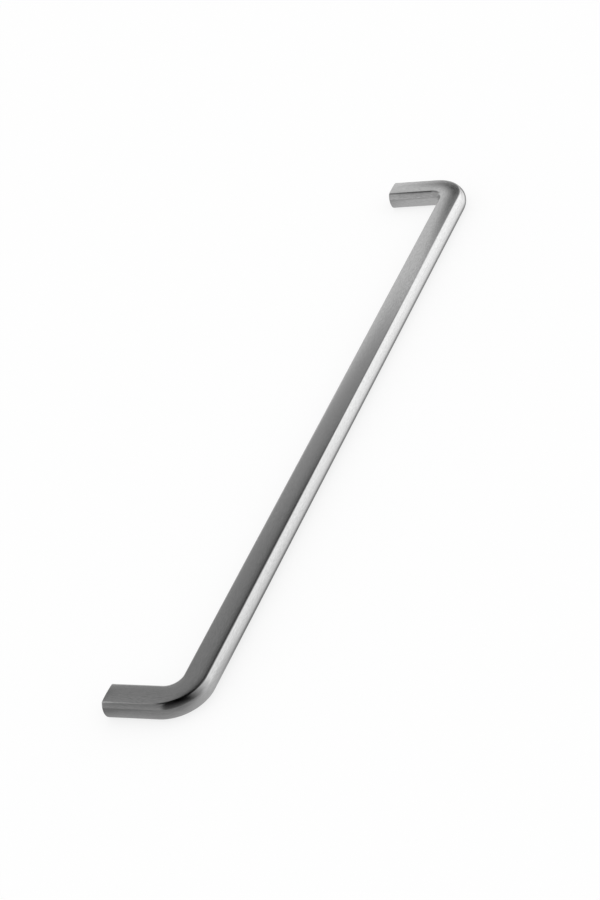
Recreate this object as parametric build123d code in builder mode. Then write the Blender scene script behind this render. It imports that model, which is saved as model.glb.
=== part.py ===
"""Cabinet handle: one solid bar turned at both ends into short legs, with crowned faces.

Frame: the origin is midway between the two screw holes, on the plane of the cabinet front.
+X runs along the grip, +Y goes into the cabinet front, and +Z is square to both.
The handle stands out of the front towards -Y.
"""

from build123d import *
from math import radians, tan
import os

# The handle as a whole, in millimetres.
hole_spacing = 320.0        # centre to centre of the two screw holes
projection = 37.0           # cabinet front to the crown of the grip's front face
inner_bend_radius = 4.7     # back face of the bar, at the inside of each bend

# The bar's section: crowned front and back, nearly flat sides, softened edges.
bar_depth = 12.0            # over the crowns of the front and back faces
bar_width = 8.0             # over the crowns of the two sides
face_crown = 1.6            # rise of the front and back faces above their corners
side_crown = 0.25           # rise of the sides above their corners
edge_radius = 1.1           # rounding where a crowned face meets a side
end_edge_radius = 0.4       # rounding round each leg's end face

# The blind screw hole up each leg, tapped for M4.
thread_core_radius = 1.65   # bore left for the thread
thread_depth = 14.0         # full bore, mouth to the start of the drill's cone
drill_point_angle = 118.0   # included angle of the cone at the bottom
lead_in = 0.5               # how far the mouth's cone opens past the bore
lead_in_angle = 90.0        # included angle of that cone

# The bar's middle line follows from those sizes.
leg_x = hole_spacing / 2
grip_y = bar_depth / 2 - projection
middle_bend_radius = inner_bend_radius + bar_depth / 2

with BuildLine() as middle_line:
    FilletPolyline(
        (-leg_x, 0),
        (-leg_x, grip_y),
        (leg_x, grip_y),
        (leg_x, 0),
        radius=middle_bend_radius,
    )

# Each face of the section is an arc from corner to corner, through its crown.
corner_u = bar_depth / 2 - face_crown
corner_v = bar_width / 2 - side_crown
corners = [
    (corner_u, -corner_v),
    (corner_u, corner_v),
    (-corner_u, corner_v),
    (-corner_u, -corner_v),
]
crowns = [
    (bar_depth / 2, 0),
    (0, bar_width / 2),
    (-bar_depth / 2, 0),
    (0, -bar_width / 2),
]

# The section stands on one leg's end, depth along X and width along Z.
section_plane = Plane(origin=(-leg_x, 0, 0), x_dir=(1, 0, 0), z_dir=(0, -1, 0))

# Both holes are drilled from the leg ends, and both cones open towards the mouths.
mouths = [Plane(origin=(x, 0, 0), z_dir=(0, 1, 0)) for x in (-leg_x, leg_x)]
cone_bases = [
    Plane(origin=(x, -thread_depth, 0), z_dir=(0, -1, 0)) for x in (-leg_x, leg_x)
]
drill_point_height = thread_core_radius / tan(radians(drill_point_angle / 2))

with BuildPart() as handle:
    with BuildSketch(section_plane):
        with BuildLine():
            for start, crown, end in zip(corners, crowns, corners[1:] + corners[:1]):
                ThreePointArc(start, crown, end)
        make_face()
        fillet(vertices(), radius=edge_radius)
    sweep(path=middle_line.wire())

    # The end faces are the ones that seat on the cabinet front.
    end_faces = handle.faces().filter_by(Axis.Y).group_by(Axis.Y)[-1]
    fillet(end_faces.edges(), radius=end_edge_radius)

    with Locations(*mouths):
        CounterSinkHole(
            radius=thread_core_radius,
            counter_sink_radius=thread_core_radius + lead_in,
            depth=thread_depth,
            counter_sink_angle=lead_in_angle,
        )
    with Locations(*cone_bases):
        Cone(
            bottom_radius=thread_core_radius,
            top_radius=0,
            height=drill_point_height,
            align=(Align.CENTER, Align.CENTER, Align.MIN),
            mode=Mode.SUBTRACT,
        )

handle.part.label = "handle"

os.makedirs("parts", exist_ok=True)
export_step(handle.part, "parts/handle.step")
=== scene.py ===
"""A satin metal cabinet handle, lying on its side on a white studio floor.

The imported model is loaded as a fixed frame. The handle is then built again as one closed mesh
with its rounded edges, crowned faces and tapped screw holes, and dressed in brushed metal.
Every length is in metres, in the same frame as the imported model.
"""

import logging
import math
from dataclasses import dataclass, field
from enum import Enum

import bmesh
import bpy
from mathutils import Matrix, Vector


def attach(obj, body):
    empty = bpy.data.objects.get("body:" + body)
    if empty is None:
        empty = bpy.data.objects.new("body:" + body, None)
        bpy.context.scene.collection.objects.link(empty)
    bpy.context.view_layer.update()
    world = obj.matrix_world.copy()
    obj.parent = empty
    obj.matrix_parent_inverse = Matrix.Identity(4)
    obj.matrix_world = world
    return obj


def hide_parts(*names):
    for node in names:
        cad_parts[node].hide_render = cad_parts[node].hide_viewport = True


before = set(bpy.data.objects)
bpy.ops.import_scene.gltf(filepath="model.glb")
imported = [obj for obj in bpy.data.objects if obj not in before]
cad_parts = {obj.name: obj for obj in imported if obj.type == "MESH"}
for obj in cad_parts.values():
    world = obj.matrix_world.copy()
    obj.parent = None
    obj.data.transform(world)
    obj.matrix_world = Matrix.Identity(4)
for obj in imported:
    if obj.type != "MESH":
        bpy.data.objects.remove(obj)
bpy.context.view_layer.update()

MM = 0.001
QUARTER_TURN = math.pi / 2
FULL_TURN = 2 * math.pi

WHITE = (1.0, 1.0, 1.0, 1.0)

# Points nearer than this are one point.
WELD = 0.002 * MM

# Points nearer than this to a cutting plane are on it.
ON_PLANE = 0.0002 * MM

# Faces that meet at more than this angle keep a sharp edge between them.
SHARP_ANGLE = math.radians(28)

# The vector attribute that holds where each point would be if the bar were straight.
STRAIGHT_BAR = "straight_bar"

log = logging.getLogger("cabinet handle")


class End(Enum):
    """The two ends of the handle, each with the side of the middle that it is on."""

    LEFT = -1
    RIGHT = 1


class Value:
    """A number that a socket carries, so that shader sums are written as Python sums."""

    def __init__(self, nodes: "Nodes", socket: bpy.types.NodeSocket) -> None:
        """Wraps one output socket.

        Args:
            nodes: The node tree that the socket belongs to.
            socket: The output that carries the number.
        """
        self.nodes = nodes
        self.socket = socket

    def _sum(
        self, operation: str, first: "Value | float", second: "Value | float"
    ) -> "Value":
        """Adds one Math node.

        Args:
            operation: The Math node's operation.
            first: A Value or a number.
            second: A Value or a number.

        Returns:
            The node's result.
        """
        return self.nodes.add("ShaderNodeMath", {"operation": operation}, {0: first, 1: second})

    def __add__(self, other: "Value | float") -> "Value":
        """Gives self + other."""
        return self._sum("ADD", self, other)

    def __sub__(self, other: "Value | float") -> "Value":
        """Gives self - other."""
        return self._sum("SUBTRACT", self, other)

    def __rsub__(self, other: "Value | float") -> "Value":
        """Gives other - self."""
        return self._sum("SUBTRACT", other, self)

    def __mul__(self, other: "Value | float") -> "Value":
        """Gives self * other."""
        return self._sum("MULTIPLY", self, other)

    __radd__ = __add__
    __rmul__ = __mul__

    def fade(self, low: float, high: float) -> "Value":
        """Rises smoothly from 0 to 1.

        Args:
            low: The value at which it starts to rise from 0.
            high: The value at which it reaches 1.

        Returns:
            The eased value, held at 0 and 1 outside.
        """
        return self.nodes.add(
            "ShaderNodeMapRange",
            {"interpolation_type": "SMOOTHSTEP"},
            {"Value": self, "From Min": low, "From Max": high, "To Min": 0.0, "To Max": 1.0},
        )


class Nodes:
    """The node tree of a material or of the world, filled by one method."""

    def __init__(self, owner: bpy.types.Material | bpy.types.World) -> None:
        """Empties the owner's node tree and keeps it.

        Args:
            owner: The material or world.
        """
        owner.use_nodes = True
        self.tree = owner.node_tree
        self.tree.nodes.clear()

    def add(self, kind: str, settings: dict, inputs: dict, output: int | str = 0) -> Value:
        """Adds one node.

        Args:
            kind: The node's type name.
            settings: The node's own settings, set before its sockets.
            inputs: For each socket, by name or place, its value or the Value that feeds it.
            output: The output that is handed back, by name or place.

        Returns:
            The chosen output.
        """
        node = self.tree.nodes.new(kind)
        for name, setting in settings.items():
            setattr(node, name, setting)
        for name, value in inputs.items():
            socket = node.inputs[name]
            if isinstance(value, Value):
                self.tree.links.new(value.socket, socket)
            else:
                socket.default_value = value
        return Value(self, node.outputs[output] if node.outputs else None)

    def mix(self, factor: Value | float, first: Value | tuple, second: Value | tuple) -> Value:
        """Mixes two colours.

        Args:
            factor: 0 gives the first colour and 1 the second.
            first: A colour of four numbers, or a Value.
            second: A colour of four numbers, or a Value.

        Returns:
            The mixed colour.
        """
        return self.add(
            "ShaderNodeMix",
            {"data_type": "RGBA"},
            {"Factor": factor, "A": first, "B": second},
            "Result",
        )


@dataclass(frozen=True)
class BrushedMetal:
    """Satin metal, brushed along the bar in fine, short strokes."""

    grey: float = 0.74
    grey_spread: float = 0.13
    roughness: float = 0.2
    roughness_spread: float = 0.1
    stroke_length: float = 1.8 * MM
    stroke_width: float = 0.26 * MM
    stroke_depth: float = 0.0027 * MM
    stroke_detail: float = 2.0
    mottle_length: float = 2.0 * MM
    mottle_width: float = 1.2 * MM
    mottle_detail: float = 1.0
    mottle_share: float = 0.2
    finer_share: float = 0.6
    noise_low: float = 0.25
    noise_high: float = 0.75

    def noise(self, nodes: Nodes, length: float, width: float, detail: float) -> Value:
        """Makes marks that are drawn out along the bar and follow its bends.

        Args:
            nodes: The material's nodes.
            length: How long the marks are.
            width: How wide they are.
            detail: How many finer layers lie over the marks.

        Returns:
            A height from 0 to 1.
        """
        bar = nodes.add("ShaderNodeAttribute", {"attribute_name": STRAIGHT_BAR}, {}, "Vector")
        size = (1 / length, 1 / width, 1 / width)
        place = nodes.add("ShaderNodeVectorMath", {"operation": "MULTIPLY"}, {0: bar, 1: size})
        marks = nodes.add(
            "ShaderNodeTexNoise",
            {"noise_dimensions": "3D"},
            {"Vector": place, "Scale": 1.0, "Detail": detail, "Roughness": self.finer_share},
        )
        return marks.fade(self.noise_low, self.noise_high)

    def shade(self, way: int) -> tuple[float, float, float, float]:
        """Gives the darkest grey for -1 and the lightest one for 1."""
        grey = self.grey + way * self.grey_spread / 2
        return (grey, grey, grey, 1.0)

    def material(self) -> bpy.types.Material:
        """Makes the material.

        Returns:
            The brushed metal.
        """
        made = bpy.data.materials.new("satin_metal")
        nodes = Nodes(made)
        strokes = self.noise(nodes, self.stroke_length, self.stroke_width, self.stroke_detail)
        mottle = self.noise(nodes, self.mottle_length, self.mottle_width, self.mottle_detail)
        marks = strokes * (1 - self.mottle_share) + mottle * self.mottle_share
        colour = nodes.mix(marks, self.shade(-1), self.shade(1))
        roughness = (self.roughness + self.roughness_spread / 2) - marks * self.roughness_spread
        normal = nodes.add(
            "ShaderNodeBump",
            {},
            {"Strength": 1.0, "Distance": self.stroke_depth, "Height": strokes},
        )
        shader = nodes.add(
            "ShaderNodeBsdfPrincipled",
            {},
            {"Base Color": colour, "Metallic": 1.0, "Roughness": roughness, "Normal": normal},
        )
        nodes.add("ShaderNodeOutputMaterial", {}, {"Surface": shader})
        return made


@dataclass(frozen=True)
class WhiteFloor:
    """A matt white floor, seen a little paler than it is lit."""

    colour: tuple = (0.97, 0.97, 0.97, 1.0)
    paling: float = 0.75

    def material(self) -> bpy.types.Material:
        """Makes the material.

        Returns:
            The floor's finish.
        """
        made = bpy.data.materials.new("white_floor")
        nodes = Nodes(made)
        matt = nodes.add("ShaderNodeBsdfDiffuse", {}, {"Color": self.colour})
        glow = nodes.add("ShaderNodeEmission", {}, {"Color": WHITE, "Strength": 1.0})
        seen = [
            nodes.add("ShaderNodeLightPath", {}, {}, kind)
            for kind in ("Is Camera Ray", "Is Glossy Ray", "Is Transmission Ray")
        ]
        shader = nodes.add(
            "ShaderNodeMixShader",
            {},
            {0: (seen[0] + seen[1] + seen[2]) * self.paling, 1: matt, 2: glow},
        )
        nodes.add("ShaderNodeOutputMaterial", {}, {"Surface": shader})
        return made


@dataclass(frozen=True)
class BarSection:
    """The bar cut straight across: crowned front and back, nearly flat sides, rounded corners."""

    depth: float = 12.0 * MM
    width: float = 8.0 * MM
    face_crown: float = 1.6 * MM
    side_crown: float = 0.25 * MM
    edge_radius: float = 1.1 * MM
    face_steps: int = 12
    side_steps: int = 16
    edge_steps: int = 10

    def arcs(self) -> list[tuple[float, float, float, int]]:
        """Works out the arcs that the outline is made of, from the front crown round.

        Returns:
            For each arc its centre in depth and in width, its angle, and its number of steps.
        """
        half_depth = self.depth / 2
        half_width = self.width / 2
        face_radius = arc_radius(half_width - self.side_crown, self.face_crown)
        side_radius = arc_radius(half_depth - self.face_crown, self.side_crown)
        face_centre = half_depth - face_radius
        side_centre = half_width - side_radius
        # The corner's centre is found from the triangle that it makes with those two centres.
        apart = math.hypot(face_centre, side_centre)
        to_face = face_radius - self.edge_radius
        to_side = side_radius - self.edge_radius
        spread = math.acos((to_face**2 + apart**2 - to_side**2) / (2 * to_face * apart))
        face_turn = spread - math.atan2(-side_centre, -face_centre)
        corner_u = face_centre + to_face * math.cos(face_turn)
        corner_v = to_face * math.sin(face_turn)
        side_turn = math.atan2(corner_u, corner_v - side_centre)
        corner_turn = QUARTER_TURN - face_turn - side_turn
        half_face = (face_centre, 0.0, face_turn, self.face_steps)
        return [
            half_face,
            (corner_u, corner_v, corner_turn, self.edge_steps),
            (0.0, side_centre, 2 * side_turn, self.side_steps),
            (-corner_u, corner_v, corner_turn, self.edge_steps),
            (-face_centre, 0.0, 2 * face_turn, 2 * self.face_steps),
            (-corner_u, -corner_v, corner_turn, self.edge_steps),
            (0.0, -side_centre, 2 * side_turn, self.side_steps),
            (corner_u, -corner_v, corner_turn, self.edge_steps),
            half_face,
        ]

    def draw(self, mesh: bmesh.types.BMesh, centre: Vector) -> list[bmesh.types.BMEdge]:
        """Draws the outline, with its depth along X and its width along Z.

        Args:
            mesh: The mesh that it is drawn in.
            centre: The middle of the outline.

        Returns:
            The outline's edges.
        """
        start = centre + Vector((self.depth / 2, 0.0, 0.0))
        tip = bmesh.ops.create_vert(mesh, co=start)["vert"]
        for depth, width, angle, steps in self.arcs():
            made = bmesh.ops.spin(
                mesh,
                geom=tip,
                cent=centre + Vector((depth, 0.0, width)),
                axis=(0.0, -1.0, 0.0),
                angle=angle,
                steps=steps,
            )
            tip = [part for part in made["geom_last"] if isinstance(part, bmesh.types.BMVert)]
        bmesh.ops.remove_doubles(mesh, verts=mesh.verts, dist=WELD)
        return list(mesh.edges)


@dataclass(frozen=True)
class ScrewHole:
    """A blind hole up a leg, tapped for an M4 screw, with a countersunk mouth and a drill's cone."""

    core_radius: float = 1.65 * MM
    root_radius: float = 2.0 * MM
    pitch: float = 0.7 * MM
    root_flat: float = 0.09 * MM
    flank_angle: float = math.radians(30)
    depth: float = 14.0 * MM
    drill_half_angle: float = math.radians(59)
    lead_in: float = 0.5 * MM
    tapped_depth: float = 11.2 * MM
    run_out: float = 1.4 * MM
    spare_turns: float = 1.1
    profile_cuts: int = 2
    steps: int = 40

    def cut_thread(self, mesh: bmesh.types.BMesh) -> None:
        """Makes the thread's surface round the Y axis, longer than the hole at both ends.

        Args:
            mesh: The mesh that it is made in.
        """
        flank = (self.root_radius - self.core_radius) * math.tan(self.flank_angle)
        crest_flat = self.pitch - self.root_flat - 2 * flank
        heights = [crest_flat, flank, self.root_flat, flank]
        radii = [self.core_radius, self.root_radius, self.root_radius, self.core_radius]
        place = Vector((self.core_radius, self.spare_turns * self.pitch, 0.0))
        tip = bmesh.ops.create_vert(mesh, co=place)["vert"][0]
        for height, radius in zip(heights, radii):
            moved = bmesh.ops.extrude_vert_indiv(mesh, verts=[tip])["verts"]
            step = Vector((radius - tip.co.x, -height, 0.0))
            bmesh.ops.translate(mesh, verts=moved, vec=step)
            tip = moved[0]
        bmesh.ops.subdivide_edges(mesh, edges=mesh.edges[:], cuts=self.profile_cuts)
        turns = math.ceil(self.depth / self.pitch + 2 * self.spare_turns)
        bmesh.ops.spin(
            mesh,
            geom=mesh.verts[:] + mesh.edges[:],
            cent=(0.0, 0.0, 0.0),
            axis=(0.0, -1.0, 0.0),
            dvec=(0.0, -self.pitch / self.steps, 0.0),
            angle=turns * FULL_TURN,
            steps=turns * self.steps,
        )
        bmesh.ops.remove_doubles(mesh, verts=mesh.verts, dist=WELD)

    def trim(self, mesh: bmesh.types.BMesh) -> list[bmesh.types.BMEdge]:
        """Opens the mouth, runs the thread out, and cuts the surface off at both ends.

        Args:
            mesh: The mesh with the thread's surface.

        Returns:
            The edges round the cut at the bottom.
        """
        for vert in mesh.verts:
            reach = math.hypot(vert.co.x, vert.co.z)
            mouth = self.core_radius + self.lead_in + vert.co.y
            gone = (-vert.co.y - self.tapped_depth) / self.run_out
            tap = self.root_radius - min(max(gone, 0.0), 1.0) * (self.root_radius - self.core_radius)
            wanted = max(min(reach, tap), mouth)
            vert.co.x *= wanted / reach
            vert.co.z *= wanted / reach
        cut = []
        for height, outwards in ((0.0, 1.0), (-self.depth, -1.0)):
            made = bmesh.ops.bisect_plane(
                mesh,
                geom=mesh.verts[:] + mesh.edges[:] + mesh.faces[:],
                dist=ON_PLANE,
                plane_co=(0.0, height, 0.0),
                plane_no=(0.0, outwards, 0.0),
                clear_outer=True,
            )
            cut = [part for part in made["geom_cut"] if isinstance(part, bmesh.types.BMEdge)]
        return cut

    def build(self) -> bpy.types.Mesh:
        """Makes the hole's wall round the Y axis, with its mouth at the origin.

        Returns:
            The open mesh.
        """
        mesh = bmesh.new()
        self.cut_thread(mesh)
        bottom = self.trim(mesh)
        made = bmesh.ops.extrude_edge_only(mesh, edges=bottom)["geom"]
        cone = [part for part in made if isinstance(part, bmesh.types.BMVert)]
        tip_height = -self.depth - self.core_radius / math.tan(self.drill_half_angle)
        bmesh.ops.pointmerge(mesh, verts=cone, merge_co=(0.0, tip_height, 0.0))
        wall = bpy.data.meshes.new("screw_hole")
        mesh.to_mesh(wall)
        mesh.free()
        return wall


def arc_radius(half_chord: float, rise: float) -> float:
    """Finds the radius of an arc from its chord.

    Args:
        half_chord: Half the distance between the arc's ends.
        rise: How far the arc's middle stands over that chord.

    Returns:
        The arc's radius.
    """
    return (half_chord**2 + rise**2) / (2 * rise)


@dataclass
class Handle:
    """The one solid bar: a long grip, turned at both ends into short legs."""

    section: BarSection = field(default_factory=BarSection)
    hole: ScrewHole = field(default_factory=ScrewHole)
    finish: BrushedMetal = field(default_factory=BrushedMetal)
    hole_spacing: float = 320.0 * MM
    projection: float = 37.0 * MM
    inner_bend_radius: float = 4.7 * MM
    end_edge_radius: float = 0.4 * MM
    end_edge_steps: int = 6
    end_border: float = 0.06 * MM
    leg_steps: int = 4
    bend_steps: int = 40
    grip_steps: int = 48

    @property
    def leg_x(self) -> float:
        """How far each leg's middle line is from the middle of the handle."""
        return self.hole_spacing / 2

    @property
    def bend_radius(self) -> float:
        """The radius of the bar's middle line in the bends."""
        return self.inner_bend_radius + self.section.depth / 2

    @property
    def bend_y(self) -> float:
        """Where each leg ends and its bend starts."""
        return self.section.depth / 2 - self.projection + self.bend_radius

    def run(
        self, mesh: bmesh.types.BMesh, edges: list[bmesh.types.BMEdge], way: Vector, steps: int
    ) -> list[bmesh.types.BMEdge]:
        """Draws the outline out along a straight stretch.

        Args:
            mesh: The bar's mesh.
            edges: The outline where the stretch starts.
            way: From the start of the stretch to its end.
            steps: The number of rings.

        Returns:
            The outline where the stretch ends.
        """
        for _ in range(steps):
            made = bmesh.ops.extrude_edge_only(mesh, edges=edges)["geom"]
            verts = [part for part in made if isinstance(part, bmesh.types.BMVert)]
            edges = [part for part in made if isinstance(part, bmesh.types.BMEdge)]
            bmesh.ops.translate(mesh, verts=verts, vec=way / steps)
        return edges

    def bend(
        self, mesh: bmesh.types.BMesh, edges: list[bmesh.types.BMEdge], end: End
    ) -> list[bmesh.types.BMEdge]:
        """Turns the outline through a quarter round one bend.

        Args:
            mesh: The bar's mesh.
            edges: The outline where the bend starts.
            end: The end that the bend is at.

        Returns:
            The outline where the bend ends.
        """
        verts = list(dict.fromkeys(vert for edge in edges for vert in edge.verts))
        made = bmesh.ops.spin(
            mesh,
            geom=verts + edges,
            cent=(end.value * (self.leg_x - self.bend_radius), self.bend_y, 0.0),
            axis=(0.0, 0.0, 1.0),
            angle=QUARTER_TURN,
            steps=self.bend_steps,
        )
        return [part for part in made["geom_last"] if isinstance(part, bmesh.types.BMEdge)]

    def round_end(
        self, mesh: bmesh.types.BMesh, edges: list[bmesh.types.BMEdge]
    ) -> list[bmesh.types.BMEdge]:
        """Closes a leg's end, rounds its edge, and opens the flat face inside a narrow border.

        Args:
            mesh: The bar's mesh.
            edges: The outline at the leg's end.

        Returns:
            The edges of the opening.
        """
        cap = bmesh.ops.contextual_create(mesh, geom=edges)["faces"][0]
        bmesh.ops.bevel(
            mesh,
            geom=list(cap.edges),
            offset=self.end_edge_radius,
            offset_type="OFFSET",
            segments=self.end_edge_steps,
            profile=0.5,
            affect="EDGES",
            material=-1,
        )
        cap = max(mesh.faces, key=lambda face: len(face.verts))
        bmesh.ops.inset_region(mesh, faces=[cap], thickness=self.end_border, use_even_offset=True)
        opening = list(cap.edges)
        bmesh.ops.delete(mesh, geom=[cap], context="FACES_ONLY")
        return opening

    def drill(
        self,
        mesh: bmesh.types.BMesh,
        wall: bpy.types.Mesh,
        opening: list[bmesh.types.BMEdge],
        end: End,
    ) -> None:
        """Sets a screw hole in a leg's end face.

        Args:
            mesh: The bar's mesh.
            wall: The hole's wall, with its mouth at the origin.
            opening: The edges of the opening in the end face.
            end: The end that the leg is at.
        """
        before = len(mesh.verts)
        mesh.from_mesh(wall)
        mesh.verts.ensure_lookup_table()
        added = mesh.verts[before:]
        bmesh.ops.translate(mesh, verts=added, vec=(end.value * self.leg_x, 0.0, 0.0))
        mouth = dict.fromkeys(
            edge for vert in added for edge in vert.link_edges if edge.is_boundary
        )
        bmesh.ops.triangle_fill(
            mesh, edges=opening + list(mouth), use_beauty=True, normal=(0.0, 1.0, 0.0)
        )

    def straight(self, place: Vector) -> Vector:
        """Says where a point would be if the bar were straight.

        Args:
            place: A point of the handle.

        Returns:
            How far along the bar it is, how far out from the middle line, and how far across.
        """
        side = math.copysign(1.0, place.x)
        bend_start = self.leg_x - self.bend_radius
        across = abs(place.x) - bend_start
        down = self.bend_y - place.y
        if across <= 0:
            return Vector((place.x, down - self.bend_radius, place.z))
        if down <= 0:
            along = bend_start + self.bend_radius * QUARTER_TURN - down
            return Vector((side * along, across - self.bend_radius, place.z))
        turned = math.atan2(across, down)
        out = math.hypot(across, down) - self.bend_radius
        return Vector((side * (bend_start + self.bend_radius * turned), out, place.z))

    def build(self) -> bpy.types.Object:
        """Builds the handle's mesh from its left end to its right one.

        Returns:
            The piece, without its finish.
        """
        mesh = bmesh.new()
        left = self.section.draw(mesh, Vector((-self.leg_x, 0.0, 0.0)))
        leg = Vector((0.0, self.bend_y, 0.0))
        grip = Vector((2 * (self.leg_x - self.bend_radius), 0.0, 0.0))
        edges = self.run(mesh, left, leg, self.leg_steps)
        edges = self.bend(mesh, edges, End.LEFT)
        edges = self.run(mesh, edges, grip, self.grip_steps)
        edges = self.bend(mesh, edges, End.RIGHT)
        right = self.run(mesh, edges, -leg, self.leg_steps)
        wall = self.hole.build()
        for end, edges in ((End.LEFT, left), (End.RIGHT, right)):
            opening = self.round_end(mesh, edges)
            self.drill(mesh, wall, opening, end)
        bpy.data.meshes.remove(wall)
        bmesh.ops.recalc_face_normals(mesh, faces=mesh.faces)
        layer = mesh.verts.layers.float_vector.new(STRAIGHT_BAR)
        for vert in mesh.verts:
            vert[layer] = self.straight(vert.co)
        return finished_object("handle_bar", mesh)

    def dress(self, piece: bpy.types.Object) -> None:
        """Gives the handle its finish and ties it to the frame.

        Args:
            piece: The handle's object.
        """
        piece.data.materials.append(self.finish.material())
        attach(piece, "root")
        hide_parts("handle")


def finished_object(name: str, mesh: bmesh.types.BMesh) -> bpy.types.Object:
    """Turns a worked mesh into an object at the origin, smooth between its sharp edges.

    Args:
        name: The object's name.
        mesh: The worked mesh, which is freed.

    Returns:
        The linked object.
    """
    for face in mesh.faces:
        face.smooth = True
    data = bpy.data.meshes.new(name)
    mesh.to_mesh(data)
    mesh.free()
    data.set_sharp_from_angle(angle=SHARP_ANGLE)
    made = bpy.data.objects.new(name, data)
    bpy.context.scene.collection.objects.link(made)
    return made


@dataclass(frozen=True)
class SoftEdge:
    """Where a glow fades in along a line: the middle of the fade and how wide it is."""

    middle: float
    width: float

    def past(self, place: Value) -> Value:
        """Gives 0 before the edge and 1 past it, eased between."""
        return place.fade(self.middle - self.width / 2, self.middle + self.width / 2)


@dataclass(frozen=True)
class RightGlow:
    """The right sheet: bright in front, then dark with a pale foot, then grey, dimmer higher up."""

    lit: float = 1.174
    lit_slant: float = 0.799
    lit_edge: SoftEdge = SoftEdge(-116 * MM, 152 * MM)
    dim_height: SoftEdge = SoftEdge(205 * MM, 82 * MM)
    dim_across: SoftEdge = SoftEdge(-95 * MM, 298 * MM)
    grey: float = 0.589
    grey_rise: float = 0.445
    grey_slant: float = -0.133
    grey_edge: SoftEdge = SoftEdge(75 * MM, 42 * MM)
    grey_dim: float = 0.589
    grey_dim_height: SoftEdge = SoftEdge(196 * MM, 77 * MM)
    foot: float = 0.474
    foot_height: SoftEdge = SoftEdge(83 * MM, 17 * MM)

    def glow(self, x: Value, y: Value, z: Value) -> Value:
        """Gives the glow at a place on the sheet.

        Args:
            x: How far to the right the place is.
            y: How far to the back it is.
            z: How far up it is.

        Returns:
            The glow there, where 1 is white.
        """
        ahead = 1 - self.lit_edge.past(y - self.lit_slant * z)
        dim = self.dim_height.past(z) * self.dim_across.past(y)
        behind = self.grey_edge.past(y - self.grey_slant * z)
        grey = (self.grey + self.grey_rise * y) * (1 - self.grey_dim * self.grey_dim_height.past(z))
        foot = self.foot * (1 - self.foot_height.past(z)) * self.lit_edge.past(y)
        gap = 1 - self.grey_edge.past(y)
        return self.lit * ahead * (1 - dim) + grey * behind + foot * gap


@dataclass(frozen=True)
class LeftGlow:
    """The left sheet: dark in front, then dusky, then grey at the back, with a faint foot."""

    grey: float = 0.488
    grey_edge: SoftEdge = SoftEdge(163 * MM, 23 * MM)
    dusk: float = 0.195
    dusk_edge: SoftEdge = SoftEdge(-6 * MM, 31 * MM)
    slant: float = 0.11
    foot: float = 0.18
    foot_height: SoftEdge = SoftEdge(1 * MM, 338 * MM)

    def glow(self, x: Value, y: Value, z: Value) -> Value:
        """Gives the glow at a place on the sheet.

        Args:
            x: How far to the right the place is.
            y: How far to the back it is.
            z: How far up it is.

        Returns:
            The glow there, where 1 is white.
        """
        back = y - self.slant * z
        grey = self.grey_edge.past(back)
        dusk = self.dusk * self.dusk_edge.past(back) * (1 - grey)
        return self.grey * grey + dusk + self.foot * (1 - self.foot_height.past(z))


@dataclass(frozen=True)
class BackGlow:
    """The back sheet: grey, darker high up on the right, and paler in the right corner."""

    grey: float = 0.376
    dim: float = 0.651
    dim_across: SoftEdge = SoftEdge(17 * MM, 16 * MM)
    dim_height: SoftEdge = SoftEdge(218 * MM, 67 * MM)
    corner: float = 0.192
    corner_edge: SoftEdge = SoftEdge(240 * MM, 180 * MM)

    def glow(self, x: Value, y: Value, z: Value) -> Value:
        """Gives the glow at a place on the sheet."""
        dim = self.dim * self.dim_across.past(x) * self.dim_height.past(z)
        return self.grey * (1 - dim) + self.corner * self.corner_edge.past(x)


@dataclass(frozen=True)
class FrontGlow:
    """The front sheet: from dark on the left to bright on the right."""

    lit: float = 1.055
    edge: SoftEdge = SoftEdge(-84 * MM, 645 * MM)

    def glow(self, x: Value, y: Value, z: Value) -> Value:
        """Gives the glow at a place on the sheet."""
        return self.lit * self.edge.past(x)


@dataclass(frozen=True)
class TopGlow:
    """The top sheet: bright at the front right, grey and paler to the left at the back."""

    lit: float = 0.729
    lit_across: SoftEdge = SoftEdge(163 * MM, 691 * MM)
    lit_along: SoftEdge = SoftEdge(-74 * MM, 358 * MM)
    grey: float = 0.283
    grey_edge: SoftEdge = SoftEdge(136 * MM, 42 * MM)
    dim: float = 0.217
    dim_across: SoftEdge = SoftEdge(87 * MM, 306 * MM)
    patch: float = 0.192
    patch_across: SoftEdge = SoftEdge(-114 * MM, 18 * MM)
    patch_along: SoftEdge = SoftEdge(200 * MM, 22 * MM)

    def glow(self, x: Value, y: Value, z: Value) -> Value:
        """Gives the glow at a place on the sheet.

        Args:
            x: How far to the right the place is.
            y: How far to the back it is.
            z: How far up it is.

        Returns:
            The glow there, where 1 is white.
        """
        lit = self.lit * self.lit_across.past(x) * (1 - self.lit_along.past(y))
        grey = self.grey * self.grey_edge.past(y) * (1 - self.dim * self.dim_across.past(x))
        patch = self.patch * self.patch_along.past(y) * (1 - self.patch_across.past(x))
        return lit + grey + patch


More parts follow.
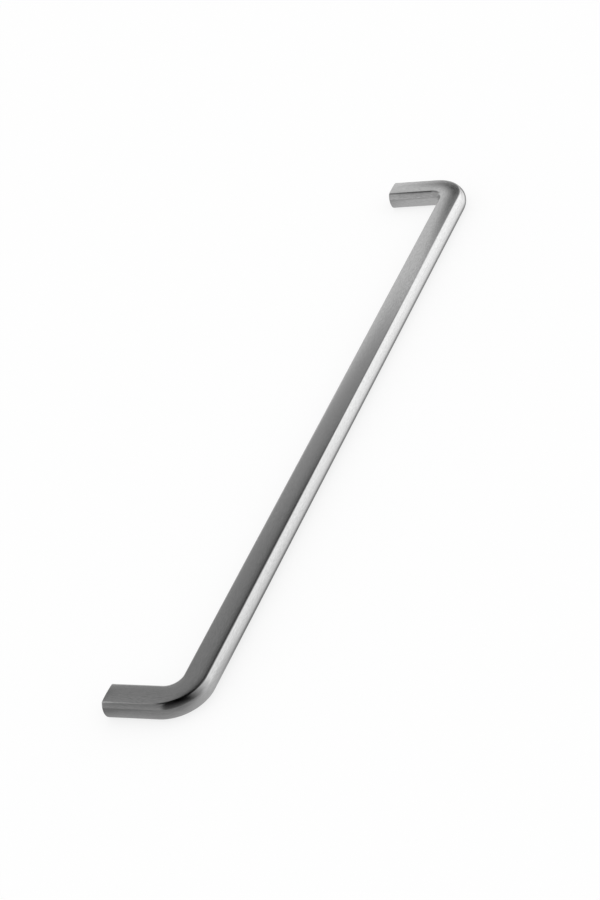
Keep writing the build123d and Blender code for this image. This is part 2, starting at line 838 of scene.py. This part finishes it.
@dataclass(frozen=True)
class FloorGlow:
    """The card under the handle, seen in its reflections in place of the floor, with the handle's
    shadow painted on it: white in front, painted shade in grey behind, painted shadow on the left
    and a painted contact shadow close to it.
    """

    # Painted shadow of the handle on the floor, on the left of the near leg and behind the grip, a
    # little lighter along the near leg.
    dark: float = 0.23
    near_leg: float = 0.281
    near_leg_edge: SoftEdge = SoftEdge(-161 * MM, 27 * MM)
    near_leg_end: SoftEdge = SoftEdge(-125 * MM, 50 * MM)
    lit: float = 0.826
    lit_edge: SoftEdge = SoftEdge(-136 * MM, 50 * MM)
    lit_rise: float = 0.274
    lit_rise_edge: SoftEdge = SoftEdge(-32 * MM, 230 * MM)
    # Painted shade on the floor behind the grip, darker still right behind it.
    grey: float = 0.494
    grey_edge: SoftEdge = SoftEdge(-46 * MM, 399 * MM)
    grey_dim: float = 0.27
    grey_dim_edge: SoftEdge = SoftEdge(1 * MM, 16 * MM)
    # Painted shade and a painted contact shadow on the floor just in front of the grip.
    shade: float = 0.214
    shade_edge: SoftEdge = SoftEdge(-43.5 * MM, 13.0 * MM)
    contact_shadow: float = 0.72
    contact_shadow_edge: SoftEdge = SoftEdge(-38.5 * MM, 4.0 * MM)
    grip_line: SoftEdge = SoftEdge(-31 * MM, 1 * MM)

    def glow(self, x: Value, y: Value, z: Value) -> Value:
        """Gives the glow at a place on the card.

        Args:
            x: How far to the right the place is.
            y: How far to the back it is.
            z: How far up it is.

        Returns:
            The glow there, where 1 is white.
        """
        # Painted shadow on the left of the near leg, a little lighter along it.
        by_leg = self.near_leg_edge.past(x) * (1 - self.near_leg_end.past(x))
        dark = self.dark + self.near_leg * by_leg
        lit = self.lit * (1 + self.lit_rise * self.lit_rise_edge.past(x))
        # Painted shade and painted contact shadow just in front of the grip.
        lit = lit * (1 - self.shade * self.shade_edge.past(y))
        lit = lit * (1 - self.contact_shadow * self.contact_shadow_edge.past(y))
        front = dark + (lit - dark) * self.lit_edge.past(x)
        # Painted shade behind the grip, darker close to it.
        back = dark + (self.grey - dark) * self.grey_edge.past(x)
        back = back * (1 - self.grey_dim * self.grey_dim_edge.past(y))
        behind = self.grip_line.past(y)
        return front * (1 - behind) + back * behind


Glow = RightGlow | LeftGlow | BackGlow | FrontGlow | TopGlow | FloorGlow


class Side(Enum):
    """The sides of the light tent, each with the way to it from the handle."""

    RIGHT = (1.0, 0.0, 0.0)
    LEFT = (-1.0, 0.0, 0.0)
    BACK = (0.0, 1.0, 0.0)
    FRONT = (0.0, -1.0, 0.0)
    TOP = (0.0, 0.0, 1.0)
    FLOOR = (0.0, 0.0, -1.0)


@dataclass
class LightTent:
    """Six softly graded sheets close round the handle, seen only in its reflections; the floor sheet
    has the handle's shadow painted on it.
    """

    reach: float = 330.0 * MM
    floor_height: float = -3.99 * MM
    peak: float = 1.25
    glows: dict[Side, Glow] = field(
        default_factory=lambda: {
            Side.RIGHT: RightGlow(),
            Side.LEFT: LeftGlow(),
            Side.BACK: BackGlow(),
            Side.FRONT: FrontGlow(),
            Side.TOP: TopGlow(),
            # The floor sheet: the floor as reflections see it, with the handle's painted shadow.
            Side.FLOOR: FloorGlow(),
        }
    )

    def sheet(self, side: Side) -> bpy.types.Object:
        """Builds one side of the tent, standing on the floor.

        Args:
            side: The side.

        Returns:
            The flat sheet.
        """
        mesh = bmesh.new()
        bmesh.ops.create_grid(mesh, x_segments=1, y_segments=1, size=self.reach)
        way = Vector(side.value)
        turn = way.to_track_quat("Z", "Y").to_matrix()
        bmesh.ops.rotate(mesh, verts=mesh.verts, cent=(0.0, 0.0, 0.0), matrix=turn)
        bmesh.ops.translate(mesh, verts=mesh.verts, vec=self.reach * way)
        for vert in mesh.verts:
            vert.co.z = max(vert.co.z, self.floor_height)
        return finished_object(f"tent_{side.name.lower()}", mesh)

    def cloth(self, side: Side) -> bpy.types.Material:
        """Makes one side's glow.

        Args:
            side: The side.

        Returns:
            The glowing cloth.
        """
        made = bpy.data.materials.new(f"tent_cloth_{side.name.lower()}")
        nodes = Nodes(made)
        place = nodes.add("ShaderNodeTexCoord", {}, {}, "Object")
        axes = [nodes.add("ShaderNodeSeparateXYZ", {}, {0: place}, axis) for axis in "XYZ"]
        level = self.glows[side].glow(*axes) * (1 / self.peak)
        dark, bright = (
            nodes.add("ShaderNodeEmission", {}, {"Color": WHITE, "Strength": strength})
            for strength in (0.0, self.peak)
        )
        shader = nodes.add("ShaderNodeMixShader", {}, {0: level, 1: dark, 2: bright})
        nodes.add("ShaderNodeOutputMaterial", {}, {"Surface": shader})
        return made

    def hang(self) -> list[bpy.types.Object]:
        """Hangs all the sides, hidden from everything but reflections.

        Returns:
            The sheets.
        """
        sheets = []
        for side in Side:
            made = self.sheet(side)
            made.data.materials.append(self.cloth(side))
            made.visible_camera = False
            made.visible_diffuse = False
            made.visible_transmission = False
            made.visible_volume_scatter = False
            made.visible_shadow = False
            sheets.append(made)
        return sheets


@dataclass
class Studio:
    """The white floor, the plain light that fills the room, and the tent round the handle."""

    floor_height: float = -4.0 * MM
    floor_reach: float = 8.0
    floor: WhiteFloor = field(default_factory=WhiteFloor)
    tent: LightTent = field(default_factory=LightTent)

    def lay_floor(self) -> bpy.types.Object:
        """Lays the floor that the handle's side rests on.

        Returns:
            The floor.
        """
        mesh = bmesh.new()
        bmesh.ops.create_grid(mesh, x_segments=1, y_segments=1, size=self.floor_reach)
        bmesh.ops.translate(mesh, verts=mesh.verts, vec=(0.0, 0.0, self.floor_height))
        made = finished_object("studio_floor", mesh)
        made.data.materials.append(self.floor.material())
        return made

    def light(self) -> None:
        """Fills the world with plain white light, which reflections take from the tent instead."""
        world = bpy.data.worlds.new("white_room")
        nodes = Nodes(world)
        light = nodes.add("ShaderNodeBackground", {}, {"Color": WHITE, "Strength": 1.0})
        nodes.add("ShaderNodeOutputWorld", {}, {"Surface": light})
        world.cycles_visibility.glossy = False
        bpy.context.scene.world = world


@dataclass(frozen=True)
class StudioCamera:
    """The camera, placed as the photograph was taken."""

    place: tuple = (-639.443 * MM, -410.401 * MM, 491.477 * MM)
    aim: tuple = (-9.975 * MM, -14.261 * MM, -9.187 * MM)
    roll: float = math.radians(-20.13)
    focal_length: float = 91.168
    sensor_width: float = 36.0
    nearest: float = 0.01
    farthest: float = 100.0

    def set_up(self) -> bpy.types.Object:
        """Makes the camera and gives it to the scene.

        Returns:
            The camera.
        """
        lens = bpy.data.cameras.new("studio_camera")
        lens.lens = self.focal_length
        lens.sensor_width = self.sensor_width
        lens.sensor_fit = "AUTO"
        lens.clip_start = self.nearest
        lens.clip_end = self.farthest
        made = bpy.data.objects.new("studio_camera", lens)
        place = Vector(self.place)
        turn = (Vector(self.aim) - place).to_track_quat("-Z", "Y").to_matrix().to_4x4()
        made.matrix_world = Matrix.Translation(place) @ turn @ Matrix.Rotation(self.roll, 4, "Z")
        bpy.context.scene.collection.objects.link(made)
        bpy.context.scene.camera = made
        return made


def main() -> None:
    """Builds the handle, its studio and the camera, and reports each piece."""
    logging.basicConfig(level=logging.INFO, format="%(name)s: %(message)s")
    bpy.context.scene.view_settings.view_transform = "Standard"

    StudioCamera().set_up()
    log.info("camera set at the photograph's angle")

    handle = Handle()
    bar = handle.build()
    handle.dress(bar)
    log.info("%s built with %d faces", bar.name, len(bar.data.polygons))

    studio = Studio()
    floor = studio.lay_floor()
    studio.light()
    sheets = studio.tent.hang()
    log.info("%s laid, %d sheets of the light tent hung", floor.name, len(sheets))

    log.info("sizes written")


if __name__ == "__main__":
    main()
